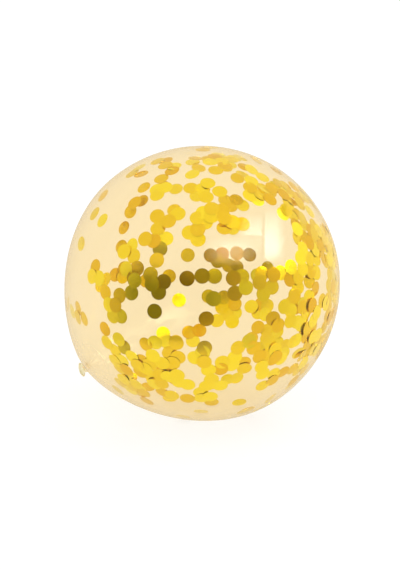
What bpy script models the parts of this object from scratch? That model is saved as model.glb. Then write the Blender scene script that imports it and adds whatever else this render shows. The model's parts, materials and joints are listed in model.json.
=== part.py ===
"""A clear round latex balloon, blown up and tied, lying loose on its side.

The balloon is one moulded piece of rubber. It is sealed, so it is modelled as one closed solid: a
pear-shaped body, the neck gathered in small pleats, the knot that shuts it, and the short flattened tail
that ends in the rolled lip. It lies with its crown raised towards +X and its knot low towards -X, on a
small flat spot under the belly that keeps it from rolling. Metres, +Z up.

In its own upright frame the balloon's axis is Z: the widest ring is at height 0, the crown is above it,
and the knot is below. "placed" then tips that frame over and sets it on the ground.
"""

import math

import bmesh
import bpy
from mathutils import Matrix, Vector

# Driving dimensions
DIAMETER = 0.260  # at the widest ring
CROWN_LENGTH = 0.51 * DIAMETER  # from the widest ring to the top of the crown
NECK_LENGTH = 0.59 * DIAMETER  # from the widest ring to the knot
NECK_FULLNESS = 0.87  # 0.5 would make the neck half an ellipse, and 1 a parabola
NECK_RADIUS = 0.0032  # of the gathered rubber just above the knot
NECK_BLEND = 1.6  # a low value flares the body softly into the neck
NECK_TUBE = 0.0035  # how far the gathered neck runs on, into the knot
TUBE_TAPER = 0.7  # of the neck's radius, at the tube's end

CROWN_TILT = math.radians(40)  # how far the crown's axis rises from the ground
FLAT_DEPTH = 0.0015  # of belly pressed away by the flat spot

PLEATS = 10
PLEAT_DEPTH = 0.16  # of the neck's own radius, at the knot
PLEAT_REACH = 0.010  # distance from the knot over which the pleats fade to about a third
PLEAT_LIMIT = 2 * NECK_RADIUS  # the pleats deepen with the body's radius up to here, and no more

KNOT_DROP = 0.0035  # from the end of the body's outline to the knot's centre
COIL_RADIUS = 0.0028  # of the coil's centreline round the neck
COIL_THICKNESS = 0.0018  # radius of the rubber strand in the coil
COIL_LEAN = math.radians(24)
COIL_TURN = math.radians(35)  # round the balloon's axis
TUCK_RADIUS = 0.0024  # of the strand that is tucked through the coil
TUCK_THICKNESS = 0.0016
TUCK_LEAN = math.radians(74)
TUCK_TURN = math.radians(-50)
BUNCH_RADIUS = 0.0034  # of the gathered rubber that the coil and the tucked strand squeeze together

TAIL_LENGTH = 0.0100  # from the knot's centre to the lip
TAIL_SKEW = math.radians(33)  # off the balloon's axis, sideways towards +Y
TAIL_ROOT = (0.0016, 0.0014)  # half width and half thickness where it leaves the knot
TAIL_MOUTH = (0.0060, 0.0024)  # and at the lip
TAIL_FLARE = 1.5  # above 1, most of the widening is near the lip
MOUTH_DEPTH = 0.0045
MOUTH_TAPER = 0.3  # of the opening's size, at the bottom of the mouth
LIP_RADIUS = 0.0009
LIP_SWEEP = 1.5 * math.pi  # the bead shows for three quarters of its circle

# Facets
SIDES = 60
CROWN_RINGS = 13
NECK_RINGS = 22
STRAND_SIDES = 10
COIL_STEPS = 22
BUNCH_STEPS = 12
TAIL_SIDES = 18
TAIL_RINGS = 6
LIP_STEPS = 6
MERGE = 1e-6

LATEX_COLOUR = (0.93, 0.84, 0.66, 1.0)
LATEX_ROUGHNESS = 0.12
LATEX_CLEARNESS = 0.75
CUTTER_SIZE = 1.0
SHARP_ANGLE = math.radians(50)


def clear_scene():
    for thing in list(bpy.data.objects):
        bpy.data.objects.remove(thing, do_unlink=True)


def latex():
    """Clear latex: a thin warm film, glossy and see-through."""
    material = bpy.data.materials.new("clear_latex")
    material.use_nodes = True
    shader = material.node_tree.nodes["Principled BSDF"]
    shader.inputs["Base Color"].default_value = LATEX_COLOUR
    shader.inputs["Metallic"].default_value = 0.0
    shader.inputs["Roughness"].default_value = LATEX_ROUGHNESS
    shader.inputs["Transmission Weight"].default_value = LATEX_CLEARNESS
    return material


def made_object(name, bm, material=None, parent=None):
    """The mesh as an object, with its normals out and its doubles merged."""
    bmesh.ops.remove_doubles(bm, verts=bm.verts, dist=MERGE)
    bmesh.ops.recalc_face_normals(bm, faces=bm.faces)
    mesh = bpy.data.meshes.new(name)
    bm.to_mesh(mesh)
    bm.free()
    mesh.shade_smooth()
    mesh.set_sharp_from_angle(angle=SHARP_ANGLE)
    if material:
        mesh.materials.append(material)
    thing = bpy.data.objects.new(name, mesh)
    bpy.context.scene.collection.objects.link(thing)
    thing.parent = parent
    return thing


def helper(thing):
    """A shape that only lends itself to a Boolean."""
    thing.hide_render = True
    thing.display_type = "WIRE"
    return thing


def with_boolean(thing, other, operation):
    modifier = thing.modifiers.new(f"{operation.lower()}_{other.name}", "BOOLEAN")
    modifier.operation = operation
    modifier.object = other
    modifier.solver = "EXACT"


# The body


def body_outline():
    """Half the body's outline as points in the XZ plane, from the crown's top down to inside the knot."""
    widest = DIAMETER / 2
    points = []
    for ring in range(CROWN_RINGS, 0, -1):
        rise = math.pi / 2 * ring / CROWN_RINGS
        points.append(Vector((widest * math.cos(rise), 0, CROWN_LENGTH * math.sin(rise))))
    for ring in range(NECK_RINGS + 1):
        fall = math.pi / 2 * ring / NECK_RINGS
        pear = widest * max(math.cos(fall), 0) ** (2 * NECK_FULLNESS)
        radius = (pear**NECK_BLEND + NECK_RADIUS**NECK_BLEND * math.sin(fall)) ** (1 / NECK_BLEND)
        points.append(Vector((radius, 0, -NECK_LENGTH * math.sin(fall))))
    tube_end = -NECK_LENGTH - NECK_TUBE
    points[0].x = 0
    points.append(Vector((NECK_RADIUS * TUBE_TAPER, 0, tube_end)))
    points.append(Vector((0, 0, tube_end)))
    return points


def pleated(point):
    """The point drawn in or out by the gathers that run up from the knot and fade into the body."""
    above_knot = max(point.z + NECK_LENGTH, 0)
    depth = PLEAT_DEPTH * math.exp(-above_knot / PLEAT_REACH)
    radius = math.hypot(point.x, point.y)
    swell = depth * min(radius, PLEAT_LIMIT) * math.cos(PLEATS * math.atan2(point.y, point.x))
    scale = 1 + swell / radius if radius > MERGE else 1
    return Vector((point.x * scale, point.y * scale, point.z))


def body_mesh():
    """The outline turned once round the axis, then pleated at the neck."""
    bm = bmesh.new()
    outline = [bm.verts.new(point) for point in body_outline()]
    for upper, lower in zip(outline, outline[1:]):
        bm.edges.new((upper, lower))
    bmesh.ops.spin(
        bm, geom=bm.verts[:] + bm.edges[:], axis=(0, 0, 1), cent=(0, 0, 0),
        angle=2 * math.pi, steps=SIDES, use_merge=True,
    )
    bmesh.ops.remove_doubles(bm, verts=bm.verts, dist=MERGE)
    for vert in bm.verts:
        vert.co = pleated(vert.co)
    return bm


# The knot and the tail


def knot_centre():
    return Vector((0, 0, -NECK_LENGTH - KNOT_DROP))


def loop_mesh(radius, thickness, lean, turn):
    """One turn of rubber strand round the knot's centre, leaning off the balloon's axis."""
    bm = bmesh.new()
    bmesh.ops.create_circle(bm, segments=STRAND_SIDES, radius=thickness)
    stand = Matrix.Translation((radius, 0, 0)) @ Matrix.Rotation(math.pi / 2, 4, "X")
    bmesh.ops.transform(bm, matrix=stand, verts=bm.verts)
    bmesh.ops.spin(
        bm, geom=bm.verts[:] + bm.edges[:], axis=(0, 0, 1), cent=(0, 0, 0),
        angle=2 * math.pi, steps=COIL_STEPS, use_merge=True,
    )
    leaning = Matrix.Rotation(turn, 4, "Z") @ Matrix.Rotation(lean, 4, "X")
    bmesh.ops.transform(bm, matrix=Matrix.Translation(knot_centre()) @ leaning, verts=bm.verts)
    return bm


def bunch_mesh():
    """The rubber squeezed together in the middle of the knot."""
    bm = bmesh.new()
    bmesh.ops.create_uvsphere(
        bm, u_segments=BUNCH_STEPS, v_segments=BUNCH_STEPS // 2, radius=BUNCH_RADIUS,
        matrix=Matrix.Translation(knot_centre()),
    )
    return bm


def tail_direction():
    """From the knot's centre to the middle of the lip, in the upright frame."""
    return Matrix.Rotation(TAIL_SKEW, 3, "X") @ Vector((0, 0, -1))


def tail_frame():
    """A frame at the knot's centre: Z runs down the tail, and X is its flat width, which stands on edge."""
    along = tail_direction()
    sky = Vector((-math.cos(CROWN_TILT), 0, math.sin(CROWN_TILT)))
    thickness = along.cross(sky).normalized()
    across = thickness.cross(along)
    frame = Matrix((across, thickness, along)).transposed().to_4x4()
    return Matrix.Translation(knot_centre()) @ frame


def tail_stations():
    """(distance, half width, half thickness) down the outside, round the rolled lip, and up the mouth."""
    stations = []
    for ring in range(TAIL_RINGS + 1):
        part = ring / TAIL_RINGS
        flare = part**TAIL_FLARE
        half_width = TAIL_ROOT[0] + (TAIL_MOUTH[0] - TAIL_ROOT[0]) * flare
        half_thickness = TAIL_ROOT[1] + (TAIL_MOUTH[1] - TAIL_ROOT[1]) * flare
        stations.append((TAIL_LENGTH * part - LIP_RADIUS * part, half_width, half_thickness))
    for step in range(1, LIP_STEPS):
        turn = -math.pi / 2 + LIP_SWEEP * step / LIP_STEPS
        swell = LIP_RADIUS * math.cos(turn)
        distance = TAIL_LENGTH + LIP_RADIUS * math.sin(turn)
        stations.append((distance, TAIL_MOUTH[0] + swell, TAIL_MOUTH[1] + swell))
    inner = (TAIL_MOUTH[0] - LIP_RADIUS, TAIL_MOUTH[1] - LIP_RADIUS)
    stations.append((TAIL_LENGTH - LIP_RADIUS, *inner))
    stations.append((TAIL_LENGTH - MOUTH_DEPTH, MOUTH_TAPER * inner[0], MOUTH_TAPER * inner[1]))
    return stations


def tail_mesh():
    """A ring drawn out from the knot station by station, closed at the root and inside the mouth."""
    bm = bmesh.new()
    loops = []
    for distance, half_width, half_thickness in tail_stations():
        loop = []
        for side in range(TAIL_SIDES):
            angle = 2 * math.pi * side / TAIL_SIDES
            place = Vector((half_width * math.cos(angle), half_thickness * math.sin(angle), distance))
            loop.append(bm.verts.new(tail_frame() @ place))
        loops.append(loop)
    for near, far in zip(loops, loops[1:]):
        for side in range(TAIL_SIDES):
            following = (side + 1) % TAIL_SIDES
            bm.faces.new((near[side], near[following], far[following], far[side]))
    bm.faces.new(loops[0])
    bm.faces.new(loops[-1])
    return bm


# Laying it down


def placed(balloon, pieces):
    """Tips the balloon over, sinks the belly by the flat spot's depth, and centres the whole on X."""
    tipped = Matrix.Rotation(math.pi / 2 - CROWN_TILT, 4, "Y")
    points = [tipped @ vert.co for piece in pieces for vert in piece.data.vertices]
    lowest = min(point.z for point in points)
    middle = (min(point.x for point in points) + max(point.x for point in points)) / 2
    balloon.matrix_world = Matrix.Translation((-middle, 0, -lowest - FLAT_DEPTH)) @ tipped


def ground_cutter():
    """A block whose top face is the ground: it presses the flat spot into the belly."""
    bm = bmesh.new()
    bmesh.ops.create_cube(bm, size=CUTTER_SIZE)
    block = helper(made_object("ground_cutter", bm))
    block.location.z = -CUTTER_SIZE / 2
    return block


def build():
    clear_scene()
    rubber = latex()
    balloon = made_object("balloon", body_mesh(), rubber)
    coil = loop_mesh(COIL_RADIUS, COIL_THICKNESS, COIL_LEAN, COIL_TURN)
    tuck = loop_mesh(TUCK_RADIUS, TUCK_THICKNESS, TUCK_LEAN, TUCK_TURN)
    pieces = [
        helper(made_object("knot_coil", coil, parent=balloon)),
        helper(made_object("knot_tuck", tuck, parent=balloon)),
        helper(made_object("knot_bunch", bunch_mesh(), parent=balloon)),
        helper(made_object("tail_with_lip", tail_mesh(), parent=balloon)),
    ]
    placed(balloon, [balloon] + pieces)
    for piece in pieces:
        with_boolean(balloon, piece, "UNION")
    with_boolean(balloon, ground_cutter(), "DIFFERENCE")


build()
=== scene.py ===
# %% [markdown]
# # A clear balloon with gold confetti
#
# The object is a round latex balloon, blown up to about 26 cm, tied, and lying loose. Its film is clear
# and slightly milky, and a few hundred round discs of gold foil cling to the inside. We model the film,
# the tied neck with its rolled lip, and the discs, and then give each its finish.
#
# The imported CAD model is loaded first, as a fixed frame. It says where the balloon lies, and how large
# it may be.

# %% Load the frame
import json
import math
import random

import bpy
from mathutils import Matrix, Vector


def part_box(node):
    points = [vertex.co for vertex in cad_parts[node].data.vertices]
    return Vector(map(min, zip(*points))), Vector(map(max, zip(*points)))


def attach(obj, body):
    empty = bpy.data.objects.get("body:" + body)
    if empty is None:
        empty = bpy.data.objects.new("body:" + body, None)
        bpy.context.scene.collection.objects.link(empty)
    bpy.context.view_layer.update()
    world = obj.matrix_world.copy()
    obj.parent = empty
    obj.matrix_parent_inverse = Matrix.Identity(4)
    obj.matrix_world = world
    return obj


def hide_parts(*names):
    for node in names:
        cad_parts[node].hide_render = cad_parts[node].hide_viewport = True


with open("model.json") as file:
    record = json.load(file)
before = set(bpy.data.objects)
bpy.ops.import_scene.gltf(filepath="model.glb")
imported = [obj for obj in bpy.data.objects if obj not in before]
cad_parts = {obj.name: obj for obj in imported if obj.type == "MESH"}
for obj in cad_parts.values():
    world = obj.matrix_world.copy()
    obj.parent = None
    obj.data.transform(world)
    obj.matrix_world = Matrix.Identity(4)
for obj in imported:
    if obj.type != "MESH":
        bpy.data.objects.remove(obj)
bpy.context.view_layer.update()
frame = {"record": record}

# %% [markdown]
# ## Where the balloon lies
#
# The balloon is a solid of revolution that has been tipped over. It could be modelled where it lies, but
# then every formula would carry the tilt. It is simpler to shape it upright, with its axis along Z and its
# widest ring at height 0, and to tip it into place as the last step. The frame gives all that is needed:
# the place and direction of the neck, and the width of the box.

# %% Read the driving sizes
low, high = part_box("balloon")
neck_mount = next(m for m in frame["record"]["mounts"] if m["name"] == "ribbon_neck")
neck_place = Vector(neck_mount["pos_m"])
neck_way = Vector(neck_mount["axis"]).normalized()

RADIUS = (high.y - low.y) / 2
CROWN_LENGTH = 1.02 * RADIUS  # from the widest ring up to the crown
NECK_LENGTH = 1.18 * RADIUS  # and down to the neck
NECK_FULLNESS = 0.87  # 0.5 would make the neck half an ellipse, and 1 a parabola
NECK_RADIUS = 0.0032
NECK_BLEND = 1.6  # a low value flares the body softly into the neck
KNOT_DROP = 0.0035  # from the end of the neck to the knot's centre
TINY = 1e-6  # what is smaller than this counts as nothing

axis_up = -neck_way
centre = neck_place + axis_up * NECK_LENGTH
lean = math.atan2(axis_up.x, axis_up.z)
tipped = Matrix.Translation(centre) @ Matrix.Rotation(lean, 4, "Y")
print(f"radius {RADIUS:.4f} m, centre {tuple(round(v, 4) for v in centre)}, lean {math.degrees(lean):.1f}")

# %% [markdown]
# ## Helpers for edit mode
#
# Each piece starts as a primitive and is shaped by the same operators as by hand. An operator acts on
# what is selected, so these helpers select vertices by their place. `settle` then puts a finished piece's
# place into its mesh, so that its object sits at the origin and its patterns stay where they are painted.

# %% Helpers for shaping pieces
def nothing_selected():
    """In object mode, with no object selected."""
    if bpy.context.mode != "OBJECT":
        bpy.ops.object.mode_set(mode="OBJECT")
    bpy.ops.object.select_all(action="DESELECT")


def only(piece):
    """In object mode, with just this piece selected and active."""
    nothing_selected()
    piece.select_set(True)
    bpy.context.view_layer.objects.active = piece


def named(name):
    """The active piece, under this name."""
    piece = bpy.context.active_object
    piece.name = piece.data.name = name
    return piece


def pick(piece, wanted):
    """In edit mode, with just the vertices selected that the rule wants."""
    only(piece)
    bpy.ops.object.mode_set(mode="EDIT")
    bpy.ops.mesh.select_mode(type="VERT")
    bpy.ops.mesh.select_all(action="DESELECT")
    bpy.ops.object.mode_set(mode="OBJECT")
    for vertex in piece.data.vertices:
        vertex.select = wanted(vertex.co)
    bpy.ops.object.mode_set(mode="EDIT")


def reshape(piece, rule):
    """Moves each vertex to where the rule puts it."""
    for vertex in piece.data.vertices:
        vertex.co = rule(vertex.co.copy())
    piece.data.update()


def settle(piece, *modifiers):
    """Applies the modifiers, and puts the piece's place into its mesh."""
    only(piece)
    for modifier in modifiers:
        bpy.ops.object.modifier_apply(modifier=modifier.name)
    piece.data.transform(piece.matrix_world)
    piece.matrix_world = Matrix.Identity(4)
    return piece


def faces_out(piece):
    """Merges what lies in the same place, and points every face outwards."""
    only(piece)
    bpy.ops.object.mode_set(mode="EDIT")
    bpy.ops.mesh.select_all(action="SELECT")
    bpy.ops.mesh.remove_doubles(threshold=TINY)
    bpy.ops.mesh.normals_make_consistent(inside=False)
    bpy.ops.object.mode_set(mode="OBJECT")


def face_count(*pieces):
    """Says how fine the pieces are."""
    return f"{sum(len(piece.data.polygons) for piece in pieces)} faces"


# %% [markdown]
# ## The film
#
# A balloon is dipped on a pear-shaped mould. Blown up, it is almost a ball above its widest ring and a
# blunt pear below it, and the rubber gathers in fine pleats just above the knot. An outline could be spun
# round the axis, or a ball pulled into shape by hand. We start from a UV sphere, because it already has
# rings round the axis, and a formula can slide each ring to the pear's outline. Its lower pole is then
# deleted, and the ring round the hole is extruded down into the knot.

# %% Say how the rubber runs
SIDES, RINGS = 160, 110
PLEATS = 13
FINE_PLEATS = 2 * PLEATS - 3
FINE_DEPTH = 0.5  # of the main pleats' depth
PLEAT_DEPTH = 0.17  # of the neck's own radius, at the knot
PLEAT_REACH = 0.009  # distance from the knot over which the pleats fade to about a third
PLEAT_LIMIT = 2 * NECK_RADIUS  # the pleats deepen with the body's radius up to here, and no more


def pear(point):
    """Slides a point of the sphere to the balloon's outline."""
    around = math.hypot(point.x, point.y)
    if point.z >= 0:
        return Vector((point.x, point.y, point.z * CROWN_LENGTH / RADIUS))
    fall = math.asin(min(-point.z / RADIUS, 1))
    body = RADIUS * math.cos(fall) ** (2 * NECK_FULLNESS)
    wide = (body**NECK_BLEND + NECK_RADIUS**NECK_BLEND * math.sin(fall)) ** (1 / NECK_BLEND)
    scale = wide / around if around > TINY else 1
    return Vector((point.x * scale, point.y * scale, -NECK_LENGTH * math.sin(fall)))


def pleated(point):
    """Draws the rubber in and out where it gathers above the knot."""
    above = max(point.z + NECK_LENGTH, 0)
    around = math.hypot(point.x, point.y)
    if around < TINY:
        return point
    angle = math.atan2(point.y, point.x)
    wave = math.cos(PLEATS * angle) + FINE_DEPTH * math.cos(FINE_PLEATS * angle + 1)
    depth = PLEAT_DEPTH * math.exp(-above / PLEAT_REACH)
    swell = depth * min(around, PLEAT_LIMIT) * wave / (1 + FINE_DEPTH)
    return Vector((point.x * (1 + swell / around), point.y * (1 + swell / around), point.z))


# %% Shape the film
POLE = 0.99999  # of the radius: only the pole lies further down
TUBE_STEP = 0.0012
TUBE_NARROWING = (0.92, 0.85, 0.8)  # each ring of the tube into the knot, as a share of the one before

nothing_selected()
bpy.ops.mesh.primitive_uv_sphere_add(segments=SIDES, ring_count=RINGS, radius=RADIUS)
film = named("film")
pick(film, lambda p: p.z < -RADIUS * POLE)
bpy.ops.mesh.delete(type="VERT")
bpy.ops.object.mode_set(mode="OBJECT")
reshape(film, pear)

rim = min(vertex.co.z for vertex in film.data.vertices)
pick(film, lambda p: p.z < rim + TINY)
for narrowing in TUBE_NARROWING:
    bpy.ops.mesh.extrude_region_move(TRANSFORM_OT_translate={"value": (0, 0, -TUBE_STEP)})
    bpy.ops.transform.resize(value=(narrowing, narrowing, 1), center_override=(0, 0, rim))
bpy.ops.mesh.edge_face_add()
bpy.ops.object.mode_set(mode="OBJECT")
reshape(film, pleated)
faces_out(film)
film.matrix_world = tipped
settle(film)
print("film:", face_count(film))

# %% Press the flat spot that it lies on
pick(film, lambda p: p.z < 0)
bpy.ops.transform.resize(value=(1, 1, 0), center_override=(0, 0, 0))
bpy.ops.object.mode_set(mode="OBJECT")
only(film)
bpy.ops.object.shade_smooth()
print("film: lowest at", round(min(v.co.z for v in film.data.vertices), 6), "m")

# %% [markdown]
# ## The knot
#
# The neck is tied in an overhand knot. What shows is one coil round the neck and one strand tucked
# through it, both of bunched rubber with creases running along them. A true overhand curve could be drawn
# and given a bevel, but pulled tight its strands sink into each other and little of it can be seen. So two
# toruses give the strands, a sphere fills the middle, and a voxel remesh melts them into one lump, as
# pulled-tight rubber looks.

# %% Twist a strand
KNOT_AT = Vector((0, 0, -NECK_LENGTH - KNOT_DROP))
STRAND_STEPS, STRAND_SIDES = 96, 56
CREASES = 7
CREASE_DEPTH = 0.10  # of the strand's thickness
CREASE_WANDER = 1.5


def strand(name, radius, thickness, lean_angle, turn):
    """One turn of creased strand round the knot's centre."""
    nothing_selected()
    bpy.ops.mesh.primitive_torus_add(
        major_segments=STRAND_STEPS, minor_segments=STRAND_SIDES,
        major_radius=radius, minor_radius=thickness,
    )
    loop = named(name)

    def creased(point):
        ring = math.atan2(point.y, point.x)
        out = Vector((math.cos(ring), math.sin(ring), 0)) * radius
        off = point - out
        turned = math.atan2(off.z, off.dot(out) / radius)
        wave = math.cos(CREASES * turned + CREASE_WANDER * math.sin(ring) + ring)
        return out + off * (1 + CREASE_DEPTH * wave)

    reshape(loop, creased)
    leaning = Matrix.Rotation(turn, 4, "Z") @ Matrix.Rotation(lean_angle, 4, "X")
    loop.matrix_world = Matrix.Translation(KNOT_AT) @ leaning
    return settle(loop)


# %% Tie the knot
BUNCH_RADIUS = 0.0034  # of the rubber squeezed together in the middle
MELT_SIZE = 0.00016

coil = strand(
    "coil", radius=0.0028, thickness=0.0019, lean_angle=math.radians(24), turn=math.radians(35)
)
tuck = strand(
    "tuck", radius=0.0024, thickness=0.0017, lean_angle=math.radians(74), turn=math.radians(-50)
)
nothing_selected()
bpy.ops.mesh.primitive_uv_sphere_add(segments=32, ring_count=16, radius=BUNCH_RADIUS, location=KNOT_AT)
knot = settle(named("knot"))
for loop in (coil, tuck):
    loop.select_set(True)
bpy.ops.object.join()
melt = knot.modifiers.new("melt", "REMESH")
melt.mode = "VOXEL"
melt.voxel_size = MELT_SIZE
calm = knot.modifiers.new("calm", "SMOOTH")
calm.factor = 0.5
calm.iterations = 3
settle(knot, melt, calm)
print("knot:", face_count(knot))

# %% [markdown]
# ## The tail and its rolled lip
#
# Past the knot, the end of the neck fans out into a short flattened tube, creased where it leaves the
# knot, with the rolled bead that every balloon has at its mouth. Two rings could be bridged for it, but it
# has to bend and crease on its way. So a circle is extruded ring by ring into a straight tube, and a
# formula gives that tube the width, the flat sides and the creases of the fan. Solidify gives the rubber
# its thickness, and a torus, squeezed to the same oval, makes the bead.

# %% Say how the tail runs
TAIL_LENGTH = 0.0100
TAIL_SKEW = math.radians(33)  # off the balloon's axis, sideways
TAIL_ROOT = (0.0016, 0.0014)  # half width and half thickness where it leaves the knot
TAIL_MOUTH = (0.0060, 0.0024)  # and at the lip
TAIL_FLARE = 1.5  # above 1, most of the widening is near the lip
TAIL_SIDES, TAIL_RINGS = 96, 24
TAIL_CREASES = 9
CREASE_AT_ROOT = 0.14  # of the tail's own width, as the next one is
WAVE_AT_MOUTH = 0.05
SWAY = 0.0009  # how far the tail bows out through its flat side
SWAY_TURN = 3.0  # radians of the wave that the bow follows
DIP = 0.0005  # how uneven the mouth's edge is

sky = tipped.to_3x3().transposed() @ Vector((0, 0, 1))
along = Matrix.Rotation(TAIL_SKEW, 3, "X") @ Vector((0, 0, -1))
through = along.cross(sky).normalized()
across = through.cross(along)
tail_frame = Matrix.Translation(KNOT_AT) @ Matrix((across, through, along)).transposed().to_4x4()


def fanned(point):
    """Turns the straight tube of radius 1 into the flattened, creased fan."""
    part = max(point.z, 0) / TAIL_LENGTH
    angle = math.atan2(point.y, point.x)
    flare = part**TAIL_FLARE
    wide = TAIL_ROOT[0] + (TAIL_MOUTH[0] - TAIL_ROOT[0]) * flare
    thick = TAIL_ROOT[1] + (TAIL_MOUTH[1] - TAIL_ROOT[1]) * flare
    crease = CREASE_AT_ROOT * math.cos(TAIL_CREASES * angle) * (1 - part)
    wave = WAVE_AT_MOUTH * math.cos(4 * angle + 1) * part
    swell = 1 + crease + wave
    sway = SWAY * math.sin(SWAY_TURN * part) * part
    dip = DIP * math.cos(2 * angle + 0.6) * part
    return Vector((wide * swell * math.cos(angle), thick * swell * math.sin(angle) + sway, point.z + dip))


# %% Fan out the tail
RUBBER = 0.0003

nothing_selected()
bpy.ops.mesh.primitive_circle_add(vertices=TAIL_SIDES, radius=1, fill_type="NOTHING")
tail = named("tail")
pick(tail, lambda p: True)
for ring in range(TAIL_RINGS):
    bpy.ops.mesh.extrude_region_move(
        TRANSFORM_OT_translate={"value": (0, 0, TAIL_LENGTH / TAIL_RINGS)}
    )
bpy.ops.object.mode_set(mode="OBJECT")
reshape(tail, fanned)
faces_out(tail)
wall = tail.modifiers.new("wall", "SOLIDIFY")
wall.thickness = RUBBER
wall.offset = 0
tail.matrix_world = tail_frame
settle(tail, wall)
print("tail:", face_count(tail))

# %% Roll the lip
LIP_RADIUS = 0.0009
LIP_UNEVEN = 0.12  # of the bead's own radius

nothing_selected()
bpy.ops.mesh.primitive_torus_add(
    major_segments=TAIL_SIDES, minor_segments=20, major_radius=TAIL_MOUTH[0], minor_radius=LIP_RADIUS
)
lip = named("lip")


def oval(point):
    """Squeezes the round bead to the tail's flattened mouth."""
    ring = math.atan2(point.y, point.x)
    middle = Vector((math.cos(ring), math.sin(ring), 0)) * TAIL_MOUTH[0]
    bead = point - middle
    bead *= 1 + LIP_UNEVEN * math.sin(5 * ring) * math.sin(3 * ring)
    place = fanned(Vector((math.cos(ring), math.sin(ring), TAIL_LENGTH)))
    return place + bead


reshape(lip, oval)
lip.matrix_world = tail_frame
settle(lip)
print("lip:", face_count(lip))

# %% Join the knot, the tail and the lip
only(knot)
for piece in (tail, lip):
    piece.select_set(True)
bpy.ops.object.join()
tied_neck = named("tied_neck")
tied_neck.matrix_world = tipped
settle(tied_neck)
bpy.ops.object.shade_smooth_by_angle(angle=math.radians(50))
print("tied neck:", face_count(tied_neck))

# %% [markdown]
# ## The confetti
#
# The discs are punched from thin foil, 14 mm across. Static holds them flat against the inside of the
# film, in loose drifts with overlaps and a scatter between them. Particles could strew them, but they
# would be left out when the model is exported. So one disc is modelled and copied as a mesh. Each copy is
# curled a little, laid on the wall, and leans by a few degrees, and one that lands on others lies a hair
# further in. With hundreds of them, a disc has only a few dozen faces: an inset ring in each flat side,
# so that it can curl.

# %% Punch one disc
DISC_RADIUS = 0.0070
DISC_SIDES = 20
FOIL = 0.00008
FLAT_SIDE = 0.9  # a face whose normal has more height than this is a flat side

nothing_selected()
bpy.ops.mesh.primitive_cylinder_add(
    vertices=DISC_SIDES, radius=DISC_RADIUS, depth=FOIL, end_fill_type="NGON"
)
disc = named("disc")
pick(disc, lambda p: False)
bpy.ops.mesh.select_mode(type="FACE")
bpy.ops.object.mode_set(mode="OBJECT")
for polygon in disc.data.polygons:
    polygon.select = abs(polygon.normal.z) > FLAT_SIDE
bpy.ops.object.mode_set(mode="EDIT")
bpy.ops.mesh.inset(thickness=DISC_RADIUS * 0.5)
bpy.ops.object.mode_set(mode="OBJECT")
print("one disc:", face_count(disc))

# %% [markdown]
# To lay a disc, we need the place where a direction from the balloon's centre meets the film, and the way
# the film faces there. A ray could be cast at the mesh, but its facets and pleats would tip the discs. The
# outline's own formula is smooth, and halving the distance between inside and outside finds the place.

# %% Find the wall
BEYOND = 1.3  # radii from the centre: outside the film in every direction
HALVINGS = 40
SLOPE_STEP = 1e-4


def outline_radius(height):
    """The balloon's radius at a height on its own axis, without the pleats."""
    if height >= 0:
        return RADIUS * math.sqrt(max(1 - (height / CROWN_LENGTH) ** 2, 0))
    return RADIUS * max(1 - (height / NECK_LENGTH) ** 2, 0) ** NECK_FULLNESS


def wall_point(way):
    """(point, outward normal) where a ray from the centre meets the film, in the upright frame."""
    flat = math.hypot(way.x, way.y)
    near, far = 0.0, BEYOND * RADIUS
    for _ in range(HALVINGS):
        middle = (near + far) / 2
        if middle * flat < outline_radius(middle * way.z):
            near = middle
        else:
            far = middle
    point = way * near
    wider = outline_radius(point.z + SLOPE_STEP) - outline_radius(point.z - SLOPE_STEP)
    slope = wider / (2 * SLOPE_STEP)
    out = Vector((way.x / max(flat, TINY), way.y / max(flat, TINY), -slope)).normalized()
    return point, out


print("from the centre to the film, sideways:", round(wall_point(Vector((1, 0, 0)))[0].length, 4), "m")

# %% [markdown]
# The drifts are named by where they lie. A direction is given by its azimuth round the balloon (0 is
# towards -Y, 90 towards +X) and its elevation above the horizon, so the list reads like a map. Static
# makes small clumps and strings, so each drift is a few short runs from one direction to another. A few
# discs lie alone, and a sprinkle of single discs covers the rest, but for a few patches that are bare.

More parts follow.
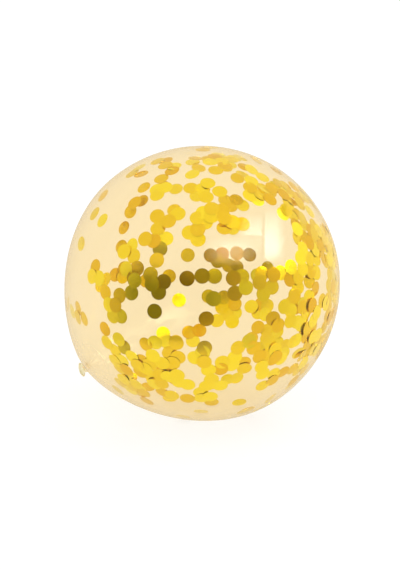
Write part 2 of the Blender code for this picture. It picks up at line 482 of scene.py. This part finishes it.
# %% Lay out the drifts
# Each run is (azimuth, elevation) of its start and of its end, in degrees, and how many discs it has.
DRIFTS = {
    "crest": (
        ((60, 54), (82, 60), 11), ((22, 62), (32, 60), 5), ((27, 48), (38, 46), 9),
        ((15, 40), (21, 40), 3), ((1, 42), (8, 47), 4), ((-9, 37), (-5, 39), 2),
        ((92, 48), (97, 40), 5), ((40, 74), (90, 78), 6), ((-70, 58), (-10, 74), 7),
        ((-15, 56), (0, 64), 3), ((85, 45), (100, 52), 5),
    ),
    "band_left": (
        ((-14, 32), (-9, 29), 3), ((4, 36), (3, 27), 4), ((-12, 23), (-6, 25), 3),
        ((1, 19), (5, 17), 3), ((-17, 12), (-9, 5), 6), ((-30, 15), (-25, 17), 3),
        ((-41, -4), (-40, -8), 2),
    ),
    "band": (
        ((25, 24), (28, 24), 2), ((35, 20), (36, 20), 1), ((38, 22), (42, 22), 1),
        ((40, 19), (44, 18), 2), ((50, 22), (55, 21), 3), ((51, 16), (55, 18), 2),
        ((71, 31), (70, 22), 6), ((63, 17), (65, 10), 4), ((74, 20), (80, 14), 6),
    ),
    "lower_left": (
        ((3, -5), (5, -9), 4), ((10, -8), (13, -22), 9), ((-9, -12), (-2, -20), 8),
        ((-19, -15), (-14, -23), 8), ((4, -19), (9, -22), 4), ((-18, -28), (-8, -38), 9),
        ((0, -25), (5, -27), 2), ((6, -34), (12, -33), 3),
    ),
    "fore": (
        ((41, -6), (45, -8), 3), ((31, -15), (37, -14), 4), ((40, -17), (44, -17), 3),
        ((49, -12), (56, -14), 6), ((56, -26), (60, -28), 4), ((23, -10), (26, -20), 6),
        ((23, -25), (33, -26), 3), ((52, 3), (58, 0), 3),
    ),
    "right": (
        ((70, 5), (76, 2), 7), ((69, -5), (77, -12), 13), ((85, 4), (90, -4), 7),
        ((80, 28), (90, 20), 8), ((95, 30), (105, 12), 12), ((95, 5), (100, -8), 8),
        ((84, -14), (92, -24), 8), ((70, -22), (80, -30), 7), ((110, 25), (118, -5), 12),
        ((100, -18), (112, -28), 8),
    ),
    "back_high": (
        ((-115, 15), (-145, 28), 4), ((170, 32), (155, 26), 4), ((-165, 40), (175, 45), 4),
        ((-170, 22), (175, 15), 4), ((155, 20), (140, 5), 12), ((130, 20), (125, -10), 12),
        ((-150, 45), (170, 55), 8), ((120, 40), (145, 30), 8),
    ),
    "back_band": (
        ((-168, -4), (180, -5), 3), ((-164, -10), (-176, -11), 4), ((-120, -8), (-115, -14), 4),
        ((-168, -33), (-177, -33), 5), ((174, -28), (166, -28), 5), ((168, -36), (162, -36), 3),
    ),
    "back_low": (
        ((-166, -27), (-176, -28), 3), ((-152, -45), (-160, -44), 2), ((170, -42), (150, -40), 6),
        ((150, -20), (140, -28), 6), ((130, -30), (120, -35), 6), ((160, -60), (200, -70), 3),
        ((-110, -50), (-90, -60), 5),
    ),
}
ALONE = (
    (-7, 20), (-7, 14), (4, 8), (17, 22), (28, 14), (25, 6), (46, 43), (74, 43), (-20, -4), (-13, -7),
    (-152, -6), (-143, -15), (-147, -26), (-151, -41), (-136, -40),
)
# Each bare patch is the azimuth and elevation of its middle, and its reach in degrees.
BARE = (
    (57, 35, 14), (34, 32, 10), (13, 30, 9), (10, 14, 5), (17, 2, 6), (-28, 5, 10), (-32, -20, 9),
    (40, -38, 11), (20, -42, 8), (-12, 42, 7), (-26, 28, 8), (18, -17, 5), (20, 14, 6), (34, 8, 7),
    (-4, 3, 7), (-95, -30, 14), (-140, -30, 9), (174, 8, 12), (-149, -56, 6),
)
DRIFT_SPREAD = 2.6  # degrees
SPRINKLE = 60
print("drifts:", len(DRIFTS), "with", sum(run[2] for runs in DRIFTS.values() for run in runs), "discs")

# %% Choose directions
rng = random.Random(8)


def compass(azimuth, elevation):
    """The direction with this azimuth and elevation."""
    a, e = math.radians(azimuth), math.radians(elevation)
    return Vector((math.sin(a) * math.cos(e), -math.cos(a) * math.cos(e), math.sin(e)))


def strewn(start, end):
    """A direction somewhere along the run from start to end, and a little to one side of it."""
    way = compass(*start).slerp(compass(*end), rng.random())
    side = way.orthogonal().normalized()
    turn = Matrix.Rotation(rng.uniform(0, 2 * math.pi), 3, way)
    tilt = rng.gauss(0, math.radians(DRIFT_SPREAD))
    return way * math.cos(tilt) + turn @ side * math.sin(tilt)


def anywhere():
    """A direction that is as likely as any other."""
    height = rng.uniform(-1, 1)
    angle = rng.uniform(0, 2 * math.pi)
    flat = math.sqrt(1 - height * height)
    return Vector((flat * math.cos(angle), flat * math.sin(angle), height))


# %% Lay one disc on the wall
CLEAR_OF_NECK = 20  # degrees
LEAST_APART = 1.15 * DISC_RADIUS  # from middle to middle
OVERLAP = 1.9 * DISC_RADIUS  # middles that are nearer than this make one disc lie on the other
TRIES = 40
FILM_GAP = 0.0003
LAYER = 0.00018
FLOOR_GAP = 0.0004
LOOSE_SHARE = 0.16
LOOSE_LEAN = (5, 13)  # degrees
SNUG_LEAN = (0, 3)
CURL = (0, 7)  # a disc drops by this times the square of the distance along it
CROSS_CURL = (-1, 5)  # and across it

upright = tipped.inverted().to_3x3()
bare = [(neck_way, CLEAR_OF_NECK)] + [(compass(*place), reach) for *place, reach in BARE]
laid = []  # (place on the wall, layer) of each disc so far


def lay(draw, loose_share):
    """The mesh of one disc on the wall, in a direction from this draw.

    It draws again for a bare patch or a place right on another disc, as far as it has tries left.
    """
    for _ in range(TRIES):
        way = draw()
        point, out = wall_point(upright @ way)
        clear = all(math.degrees(way.angle(middle)) > reach for middle, reach in bare)
        if clear and all((other - point).length > LEAST_APART for other, _ in laid):
            break
    under = [layer for other, layer in laid if (other - point).length < OVERLAP]
    layer = 1 + max(under, default=0)
    laid.append((point, layer))
    loose = rng.random() < loose_share
    lean_angle = math.radians(rng.uniform(*(LOOSE_LEAN if loose else SNUG_LEAN)))
    curl, cross_curl = rng.uniform(*CURL), rng.uniform(*CROSS_CURL)
    gap = FILM_GAP + LAYER * layer + DISC_RADIUS * math.sin(lean_angle)
    mesh = disc.data.copy()
    for vertex in mesh.vertices:
        vertex.co.z -= curl * vertex.co.x**2 + cross_curl * vertex.co.y**2
    stand = out.to_track_quat("Z", "Y").to_matrix().to_4x4()
    spin = Matrix.Rotation(rng.uniform(0, 2 * math.pi), 4, "Z")
    tilt = Matrix.Rotation(lean_angle, 4, "X")
    mesh.transform(tipped @ Matrix.Translation(point - out * gap) @ stand @ spin @ tilt @ spin)
    lift = FLOOR_GAP - min(vertex.co.z for vertex in mesh.vertices)
    mesh.transform(Matrix.Translation((0, 0, max(lift, 0))))
    value = rng.random()
    for entry in mesh.attributes.new("tone", "FLOAT", "POINT").data:
        entry.value = value
    return mesh


# %% Copy the discs
def drifted(name, draws, loose_share=LOOSE_SHARE):
    """One piece that holds a disc for each of these draws."""
    nothing_selected()
    for draw in draws:
        copy = bpy.data.objects.new(name, lay(draw, loose_share))
        bpy.context.scene.collection.objects.link(copy)
        copy.select_set(True)
    bpy.context.view_layer.objects.active = copy
    bpy.ops.object.join()
    drift = named(name)
    bpy.ops.object.shade_smooth_by_angle(angle=math.radians(40))
    return drift


confetti = []
for name, runs in DRIFTS.items():
    draws = [lambda run=run: strewn(*run[:2]) for run in runs for _ in range(run[2])]
    confetti.append(drifted(f"confetti_{name}", draws))
confetti.append(drifted("confetti_alone", [lambda place=place: compass(*place) for place in ALONE], 0))
confetti.append(drifted("confetti_sprinkle", [anywhere] * SPRINKLE))
bpy.data.objects.remove(disc)
print("discs:", len(laid), "in up to", max(layer for _, layer in laid), "layers")
print("confetti:", face_count(*confetti))

# %% [markdown]
# ## Writing shader maths
#
# A material is a net of nodes, and it could be wired by hand, node by node. A formula is easier to read.
# A `Wire` is the output of a shader node, and sums on wires add Math nodes. `Finish.node` makes any other
# node: its settings first, and then its inputs.

# %% The Wire and Finish classes
class Wire:
    """The output of a node, on which sums can be written."""

    def __init__(self, finish, socket):
        self.finish = finish
        self.socket = socket

    def maths(self, operation, *values):
        return self.finish.node("Math", "Value", {"operation": operation}, dict(enumerate(values)))

    def __add__(self, other):
        return self.maths("ADD", self, other)

    def __radd__(self, other):
        return self.maths("ADD", other, self)

    def __sub__(self, other):
        return self.maths("SUBTRACT", self, other)

    def __rsub__(self, other):
        return self.maths("SUBTRACT", other, self)

    def __mul__(self, other):
        return self.maths("MULTIPLY", self, other)

    def __rmul__(self, other):
        return self.maths("MULTIPLY", other, self)

    def __truediv__(self, other):
        return self.maths("DIVIDE", self, other)

    def __rtruediv__(self, other):
        return self.maths("DIVIDE", other, self)

    def __pow__(self, other):
        return self.maths("POWER", self, other)

    def at_most(self, other):
        return self.maths("MINIMUM", self, other)


class Finish:
    """A material that is written node by node."""

    def __init__(self, name):
        self.material = bpy.data.materials.new(name)
        self.material.use_nodes = True
        self.tree = self.material.node_tree
        self.tree.nodes.clear()
        self.end = self.tree.nodes.new("ShaderNodeOutputMaterial")

    def node(self, kind, output, settings=None, inputs=None):
        """A new node of this kind: its settings first, then its inputs. Returns the named output."""
        made = self.tree.nodes.new("ShaderNode" + kind)
        for name, value in (settings or {}).items():
            if name == "stops":
                for stop, (place, colour) in zip(made.color_ramp.elements, value):
                    stop.position = place
                    stop.color = colour
            else:
                setattr(made, name, value)
        for name, value in (inputs or {}).items():
            if isinstance(value, Wire):
                self.tree.links.new(value.socket, made.inputs[name])
            else:
                made.inputs[name].default_value = value
        return Wire(self, made.outputs[output])

    def noise(self, place, scale, detail=2.0):
        return self.node("TexNoise", "Fac", {}, {"Vector": place, "Scale": scale, "Detail": detail})

    def mix(self, share, first, second):
        """A Mix Shader: the share of the second."""
        return self.node("MixShader", "Shader", {}, {0: share, 1: first, 2: second})

    def shown(self, shader, *pieces):
        """Ends the material in this shader and puts it on the pieces."""
        self.tree.links.new(shader.socket, self.end.inputs["Surface"])
        for piece in pieces:
            piece.data.materials.clear()
            piece.data.materials.append(self.material)
        print(f"{self.material.name}: {len(self.tree.nodes)} nodes on {len(pieces)} pieces")


# %% [markdown]
# ## The film's finish
#
# Blown-up latex is a clear skin with three things to see: what lies behind it, slightly warm; a milky
# haze, which thickens towards the rim, where we look along the skin, and towards the neck, where it is
# stretched less; and a mirror-like gloss that is weak face-on and strong at the rim. A glass shader could
# do it, but it would bend light as a solid ball does, and a film this thin bends almost none.
# So a Transparent shader tints what lies behind, and haze and gloss are mixed over it. The haze mostly
# lets light through from behind, so it veils the far discs and leaves the near ones bright. Fine streaks
# in it run from the crown to the neck, the way the rubber was stretched, so the pattern needs the
# balloon's own upright frame: a Mapping node takes each point back into it.

# %% Map the film from crown to neck
AXIS_BLUR = 1e-6  # square metres: within a millimetre of the axis, the streaks fade together

film_finish = Finish("clear_latex")
place = film_finish.node("TexCoord", "Object")
upright_place = film_finish.node(
    "Mapping", "Vector", {"vector_type": "TEXTURE"},
    {"Vector": place, "Location": tuple(centre), "Rotation": (0, lean, 0)},
)
side_x, side_y, height = (
    film_finish.node("SeparateXYZ", axis, {}, {"Vector": upright_place}) for axis in "XYZ"
)
off_axis = (side_x * side_x + side_y * side_y + AXIS_BLUR) ** 0.5
meridian = film_finish.node(
    "CombineXYZ", "Vector", {},
    {"X": side_x / off_axis, "Y": side_y / off_axis, "Z": 2.0 * height},
)
streaks = film_finish.noise(meridian, scale=9.0, detail=4.0)
clouds = film_finish.noise(place, scale=20.0, detail=4.0)

# %% Measure the haze and the gloss
HAZE_FACE_ON, HAZE_RIM = 0.022, 0.45
HAZE_EVEN, HAZE_PATCHY = 0.3, 0.7  # how much of it is the same all over, and how much follows each pattern
NECK_HAZE = 0.7
NECK_HAZE_REACH = 0.014  # distance from the neck at which half of it is left
GLOSS_FACE_ON, GLOSS_RIM = 0.018, 0.3

facing = film_finish.node("LayerWeight", "Facing", {}, {"Blend": 0.5})
to_neck = film_finish.node(
    "VectorMath", "Value", {"operation": "DISTANCE"}, {0: place, 1: tuple(neck_place)}
)
neck_haze = NECK_HAZE / (1 + (to_neck / NECK_HAZE_REACH) ** 2)
pattern = HAZE_EVEN + HAZE_PATCHY * clouds + HAZE_PATCHY * streaks
haze = (HAZE_FACE_ON + HAZE_RIM * facing**4) * pattern + neck_haze
gloss = GLOSS_FACE_ON + GLOSS_RIM * facing**5

# %% Paint the film
CLEAR_TINT = (0.966, 0.868, 0.665, 1)
DEEP_TINT = (0.92, 0.83, 0.66, 1)
EDGE_TINT = (0.62, 0.50, 0.32, 1)
MILK = (0.95, 0.85, 0.62, 1)
GLINT = (1, 0.98, 0.93, 1)
HAZE_LIMIT = 0.8
LIGHT_THROUGH = 0.85  # of the haze glows with the light from behind, and the rest with that from the front

clear = film_finish.node("BsdfTransparent", "BSDF", {}, {"Color": CLEAR_TINT})
deep = film_finish.node("BsdfTransparent", "BSDF", {}, {"Color": DEEP_TINT})
edge = film_finish.node("BsdfTransparent", "BSDF", {}, {"Color": EDGE_TINT})
cream = film_finish.node("BsdfDiffuse", "BSDF", {}, {"Color": MILK})
glow = film_finish.node("BsdfTranslucent", "BSDF", {}, {"Color": MILK})
ripple = film_finish.node(
    "Bump", "Normal", {}, {"Height": streaks + clouds, "Strength": 0.1, "Distance": 0.001}
)
mirror = film_finish.node(
    "BsdfAnisotropic", "BSDF", {}, {"Color": GLINT, "Roughness": 0.045, "Normal": ripple}
)
skin = film_finish.mix(facing**9, film_finish.mix(facing**3, clear, deep), edge)
milk = film_finish.mix(LIGHT_THROUGH, cream, glow)
milky = film_finish.mix(haze.at_most(HAZE_LIMIT), skin, milk)
film_finish.shown(film_finish.mix(gloss, milky, mirror), film)

# %% [markdown]
# ## The tied neck's finish
#
# In the neck the same rubber is hardly stretched, so it is thick: a solid, slightly waxy cream that light
# still soaks into. The film's mix of clear and haze would look hollow here, so the finish is one
# Principled shader with light that scatters under the surface. A mottle in its colour and a fine bump
# keep it from looking like plastic.

# %% Paint the tied neck
DEEP_CREAM = (0.80, 0.70, 0.43, 1)
PALE_CREAM = (0.90, 0.82, 0.57, 1)

neck_finish = Finish("gathered_latex")
place = neck_finish.node("TexCoord", "Object")
mottle = neck_finish.noise(place, scale=450.0, detail=3.0)
grain = neck_finish.noise(place, scale=2600.0)
colour = neck_finish.node(
    "ValToRGB", "Color", {"stops": [(0.3, DEEP_CREAM), (0.7, PALE_CREAM)]}, {"Fac": mottle}
)
bumps = neck_finish.node(
    "Bump", "Normal", {}, {"Height": mottle + 0.3 * grain, "Strength": 0.3, "Distance": 0.0003}
)
rubber = neck_finish.node(
    "BsdfPrincipled", "BSDF", {},
    {
        "Base Color": colour, "Roughness": 0.28 + 0.16 * mottle, "Normal": bumps,
        "Subsurface Weight": 0.4, "Subsurface Radius": (1.0, 0.85, 0.55), "Subsurface Scale": 0.0015,
        "IOR": 1.5,
    },
)
neck_finish.shown(rubber, tied_neck)

# %% [markdown]
# ## The foil's finish
#
# The discs are aluminised film with a yellow lacquer: a metal with a saturated gold colour. They are
# nearly mirrors, so most of their look comes from what they face. The lacquer's pigment keeps a little
# plain colour even where the reflection is dark, so the foil isn't quite all metal. Each disc could have
# a material of its own, but one is enough: it reads the tone that was stored on each disc. The paler
# discs have the glossier lacquer, and a faint crumple in the normal breaks up the reflections.

# %% Paint the confetti
DEEP_GOLD = (0.85, 0.57, 0.003, 1)
PALE_GOLD = (1.0, 0.89, 0.005, 1)

foil_finish = Finish("gold_foil")
tone = foil_finish.node("Attribute", "Fac", {"attribute_name": "tone"})
place = foil_finish.node("TexCoord", "Object")
crumple = foil_finish.noise(place, scale=160.0)
scuffs = foil_finish.noise(place, scale=900.0, detail=3.0)
gold = foil_finish.node(
    "ValToRGB", "Color", {"stops": [(0.0, DEEP_GOLD), (0.8, PALE_GOLD)]},
    {"Fac": tone + 0.3 * (scuffs - 0.5)},
)
dents = foil_finish.node("Bump", "Normal", {}, {"Height": crumple, "Strength": 0.12, "Distance": 0.001})
foil = foil_finish.node(
    "BsdfPrincipled", "BSDF", {},
    {
        "Base Color": gold, "Metallic": 0.88, "Roughness": 0.10 + 0.12 * tone + 0.06 * scuffs,
        "Normal": dents, "Coat Weight": 0.3 + 0.7 * tone,
    },
)
foil_finish.shown(foil, *confetti)

# %% [markdown]
# ## The camera
#
# The camera looks down a little, from the side where the neck is just past the balloon's outline, at its
# lower left. A short lens close by would swell the middle of the ball, so it is a long lens from further
# off.

# %% Stand the camera
CAMERA_AZIMUTH, CAMERA_ELEVATION = 22.5, 19.5
CAMERA_DISTANCE = 2.5
LENS = 168  # millimetres

camera_way = compass(CAMERA_AZIMUTH, CAMERA_ELEVATION)
camera_data = bpy.data.cameras.new("camera")
camera = bpy.data.objects.new("camera", camera_data)
bpy.context.scene.collection.objects.link(camera)
camera_data.lens = LENS
camera_data.clip_end = 100
camera.location = centre + camera_way * CAMERA_DISTANCE
camera.rotation_euler = (-camera_way).to_track_quat("-Z", "Y").to_euler()
bpy.context.scene.camera = camera
print("camera:", tuple(round(v, 3) for v in camera.location))

# %% [markdown]
# ## The studio
#
# The balloon lies on a pale table under an even white sky. The sky alone could light the table, but then
# the balloon would shade it. So most of the table's brightness is a glow of its own, and it stays pale
# right up to the balloon.

# %% Lay the table
FLOOR_DROP = 0.0004
TABLE_SIZE = 60
TABLE_GREY = (0.23, 0.23, 0.23, 1)
TABLE_GLOW = 0.8

nothing_selected()
bpy.ops.mesh.primitive_plane_add(size=TABLE_SIZE, location=(0, 0, -FLOOR_DROP))
floor = named("studio_floor")
table = Finish("pale_table")
table_top = table.node(
    "BsdfPrincipled", "BSDF", {},
    {
        "Base Color": TABLE_GREY, "Roughness": 1.0, "Specular IOR Level": 0.0,
        "Emission Color": (1, 1, 1, 1), "Emission Strength": TABLE_GLOW,
    },
)
table.shown(table_top, floor)

# %% [markdown]
# Foil and film are mirrors, and look dull in an even white room. Two tall light panes stand side by side
# with a thin gap, up to the right of the camera, with a softer light to their left, and a wide dark flag
# hangs round the camera, down to just above the table. Only reflections show these screens. They give the
# film its window-like highlight, and the discs that face the camera their dark olive tone. Lamps could be
# moved about until the highlight is in the right place, but each screen is built backwards instead: every
# line of sight to the highlight is bounced off a ball of the balloon's size, and the screen is hung where
# the bounces go.

# %% Bounce the line of sight
view_right = Vector((math.cos(math.radians(CAMERA_AZIMUTH)), math.sin(math.radians(CAMERA_AZIMUTH)), 0))
view_up = camera_way.cross(view_right)
view_frame = Matrix((view_right, view_up, camera_way)).transposed()

SCREEN_STEPS = 30
SHORT_OF_TABLE = 0.9  # of the way to the table


def mirrored_screen(name, left, right, bottom, top, distance, strength, glow):
    """A screen that a ball mirrors to the camera inside this rectangle, in radii from the middle.

    Each point of the rectangle has a normal on the ball, and the line of sight bounces off it to the
    screen, which lies just above the table where the bounce would meet the table first. Only reflections
    show the screen. The rule gives its glow, from 0 for black to 1 for its full strength, from the shares
    across and up.
    """
    nothing_selected()
    bpy.ops.mesh.primitive_grid_add(x_subdivisions=SCREEN_STEPS, y_subdivisions=SCREEN_STEPS, size=1)
    screen = named(name)
    glows = screen.data.attributes.new("glow", "FLOAT", "POINT")
    for vertex, entry in zip(screen.data.vertices, glows.data):
        across, up = vertex.co.x + 0.5, vertex.co.y + 0.5
        entry.value = glow(across, up)
        normal = Vector((left + (right - left) * across, bottom + (top - bottom) * up, 0))
        normal.z = math.sqrt(1 - normal.length_squared)
        bounce = view_frame @ (2 * normal.z * normal - Vector((0, 0, 1)))
        place = centre + view_frame @ normal * RADIUS
        to_table = place.z / max(-bounce.z, TINY)
        vertex.co = place + bounce * min(distance, SHORT_OF_TABLE * to_table)
    light = Finish(name)
    level = light.node("Attribute", "Fac", {"attribute_name": "glow"})
    black = light.node("Emission", "Emission", {}, {"Strength": 0.0})
    bright = light.node("Emission", "Emission", {}, {"Strength": strength})
    light.shown(light.mix(level, black, bright), screen)
    screen.visible_camera = False
    screen.visible_diffuse = False
    screen.visible_shadow = False
    screen.visible_transmission = False
    screen.visible_volume_scatter = False


# %% Shade the screens
PANE_FADE = (0.25, 0.6)  # shares of its height, at the bottom and at the top
VEIL_FADE = (0.4, 0.4)
FLAG_FADE = (0.20, 0.52)  # shares of its width, at the left and at the right
FLAG_SLANT = 0.5
FLAG_DEPTH = 0.88  # of its own height
FLAG_DARKNESS = 0.93


def fading(share, start, end):
    """1 in the middle, rising from 0 over the start share and falling to 0 over the end share."""
    return max(min(share / start, (1 - share) / end, 1), 0)


def pane(*side_fade):
    """Fades over these shares of its width, at the left and at the right, and over its height."""
    return lambda across, up: fading(across, *side_fade) * fading(up, *PANE_FADE)


def veil(across, up):
    """Soft on all sides."""
    return fading(across, *VEIL_FADE) * fading(up, *VEIL_FADE)


def flag(across, up):
    """Dark along a slanting middle, and as pale as the sky at its edges."""
    height = (2 * up - 1 - FLAG_SLANT * (across - 0.5)) / FLAG_DEPTH
    dark = fading(across, *FLAG_FADE) * max(1 - height**4, 0)
    return 1 - FLAG_DARKNESS * dark


# %% Hang the screens
mirrored_screen(
    "light_pane_left", left=0.25, right=0.424, bottom=0.20, top=0.50,
    distance=1.5, strength=18, glow=pane(0.5, 0.04),
)
mirrored_screen(
    "light_pane_right", left=0.438, right=0.59, bottom=0.13, top=0.54,
    distance=1.5, strength=22, glow=pane(0.04, 0.5),
)
mirrored_screen(
    "light_veil", left=0.0, right=0.43, bottom=0.12, top=0.34,
    distance=1.5, strength=11, glow=veil,
)
mirrored_screen(
    "dark_flag", left=-0.72, right=0.72, bottom=-0.43, top=0.23,
    distance=1.6, strength=1, glow=flag,
)

# %% [markdown]
# The sky and the table light everything evenly. One wide, soft sun from above, on the right and a little
# in front, adds some shape to the haze and the tied neck. It is kept out of the reflections, which are
# left to the screens.

# %% Light the room
KEY_WAY = Vector((0.5, 0.8, 0.35))  # to the right, up and towards the camera, as the camera sees it
KEY_ENERGY = 0.6
KEY_SPREAD = math.radians(50)

world = bpy.data.worlds.new("white_sky")
bpy.context.scene.world = world
world.use_nodes = True
world.node_tree.nodes["Background"].inputs["Color"].default_value = (1, 1, 1, 1)
world.node_tree.nodes["Background"].inputs["Strength"].default_value = 1.0

key_data = bpy.data.lights.new("soft_key", "SUN")
key_data.energy = KEY_ENERGY
key_data.angle = KEY_SPREAD
key = bpy.data.objects.new("soft_key", key_data)
bpy.context.scene.collection.objects.link(key)
key_way = view_frame @ KEY_WAY
key.rotation_euler = (-key_way).to_track_quat("-Z", "Y").to_euler()
key.visible_camera = False
key.visible_glossy = False

bpy.context.scene.view_settings.view_transform = "Standard"
print("sun from", tuple(round(v, 2) for v in key_way))

# %% [markdown]
# ## Putting the pieces on one body
#
# Nothing on a balloon moves on its own, so every piece rides on the one body. The film stands for the CAD
# balloon, which is then hidden.

# %% Ride and replace
for piece in (film, tied_neck, *confetti):
    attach(piece, "root")
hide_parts("balloon")
